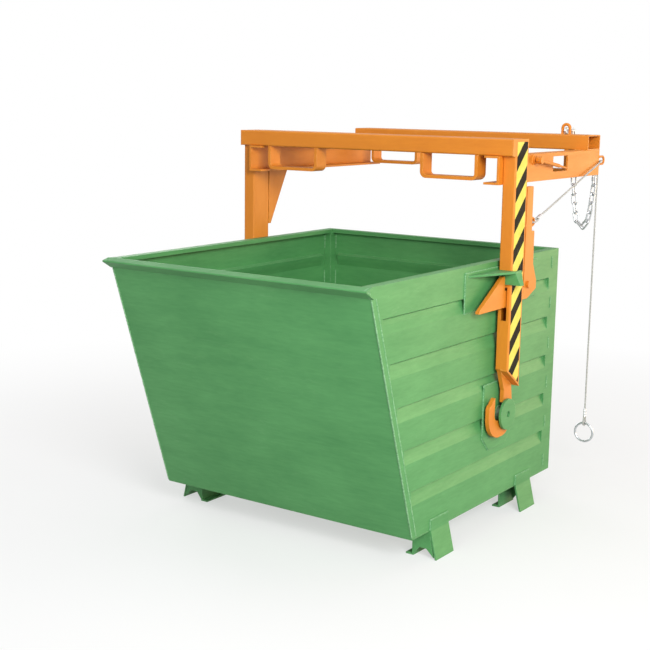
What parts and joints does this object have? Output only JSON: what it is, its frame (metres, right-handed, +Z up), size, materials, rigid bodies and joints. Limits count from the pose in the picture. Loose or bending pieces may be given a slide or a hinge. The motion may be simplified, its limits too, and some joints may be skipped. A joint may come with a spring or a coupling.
{
  "type": "tipping skip with lift-truck tipping frame",
  "caption": "Stackable sheet-steel tipping skip on folded feet, hung by its trunnions in a fork-carried tipping frame with a cord-released latch.",
  "frame": {"origin": "on the floor under the feet, in the middle of the outer box", "axes": "+Z up, -Y towards the pouring lip and +Y towards the truck, +X to the latch side"},
  "size_m": [1.312, 1.78, 1.482],
  "materials": {
    "skip_paint": "satin paint",
    "frame_paint": "satin paint",
    "zinc": "zinc plated",
    "cord": "braided"
  },
  "bodies": {
    "traverse": {"chain_bow": "frame_paint", "chain_quick_link": "zinc", "cord_eye": "frame_paint", "front_beam": "frame_paint", "latch_pin": "zinc", "left_arm_end_plate": "frame_paint", "left_arm_gusset": "frame_paint", "left_arm_tube": "frame_paint", "left_beam_cap": "frame_paint", "left_front_fork_strap": "frame_paint", "left_link_channel": "frame_paint", "left_rear_fork_strap": "frame_paint", "left_trunnion_hook": "frame_paint", "lever_bolt": "zinc", "lever_ear": "frame_paint", "pull_cord_clamp": "zinc", "pull_cord_loop": "cord", "pull_ring": "zinc", "rear_beam": "frame_paint", "release_cord_hang": "cord", "release_cord_taut": "cord", "right_arm_end_plate": "frame_paint", "right_arm_tube": "frame_paint", "right_beam_cap": "frame_paint", "right_front_fork_strap": "frame_paint", "right_link_channel": "frame_paint", "right_rear_fork_strap": "frame_paint", "right_trunnion_hook": "frame_paint", "safety_chain": "zinc", "screw_nut": "frame_paint"},
    "skip": {"back_wall": "skip_paint", "floor_sheet": "skip_paint", "front_wall": "skip_paint", "left_catch_bracket": "skip_paint", "left_catch_pad": "skip_paint", "left_corner_post": "skip_paint", "left_corner_strip": "skip_paint", "left_front_foot": "skip_paint", "left_rear_foot": "skip_paint", "left_side_wall": "skip_paint", "left_trunnion_disc": "skip_paint", "left_trunnion_doubler": "skip_paint", "left_trunnion_pin": "skip_paint", "right_catch_bracket": "skip_paint", "right_catch_pad": "skip_paint", "right_corner_post": "skip_paint", "right_corner_strip": "skip_paint", "right_front_foot": "skip_paint", "right_rear_foot": "skip_paint", "right_side_wall": "skip_paint", "right_trunnion_disc": "skip_paint", "right_trunnion_doubler": "skip_paint", "right_trunnion_pin": "skip_paint"},
    "latch": {"latch_hook": "frame_paint"},
    "lever": {"release_lever": "frame_paint", "lever_ring": "frame_paint", "lever_cord_loop": "cord", "lever_cord_clamp": "zinc"},
    "screw": {"clamp_screw": "frame_paint", "tommy_bar": "frame_paint"}
  },
  "joints": [
    {"name": "skip_tip", "type": "hinge", "parent": "traverse", "child": "skip", "pos_m": [0, 0.025, 0.43], "axis": [1, 0, 0], "range_deg": [0, 100]},
    {"name": "release_lever", "type": "hinge", "parent": "traverse", "child": "lever", "pos_m": [0.587, 0.149, 0.9], "axis": [-1, 0, 0], "range_deg": [0, 20], "stiffness_Nm_per_rad": 15, "springref_deg": -11.46, "deforming": ["release_cord_taut"]},
    {"name": "latch_turn", "type": "hinge", "parent": "traverse", "child": "latch", "pos_m": [0.587, 0.055, 0.87], "axis": [1, 0, 0], "range_deg": [0, 25], "stiffness_Nm_per_rad": 12, "springref_deg": -20.05},
    {"name": "clamp_screw_turn", "type": "hinge", "parent": "traverse", "child": "screw", "pos_m": [0.568, 0.223, 1.354], "axis": [1, 0, 0], "range_deg": [0, 90]}
  ],
  "couplings": [
    {"joint": "latch_turn", "follows": "release_lever", "ratio": 1.25}
  ]
}
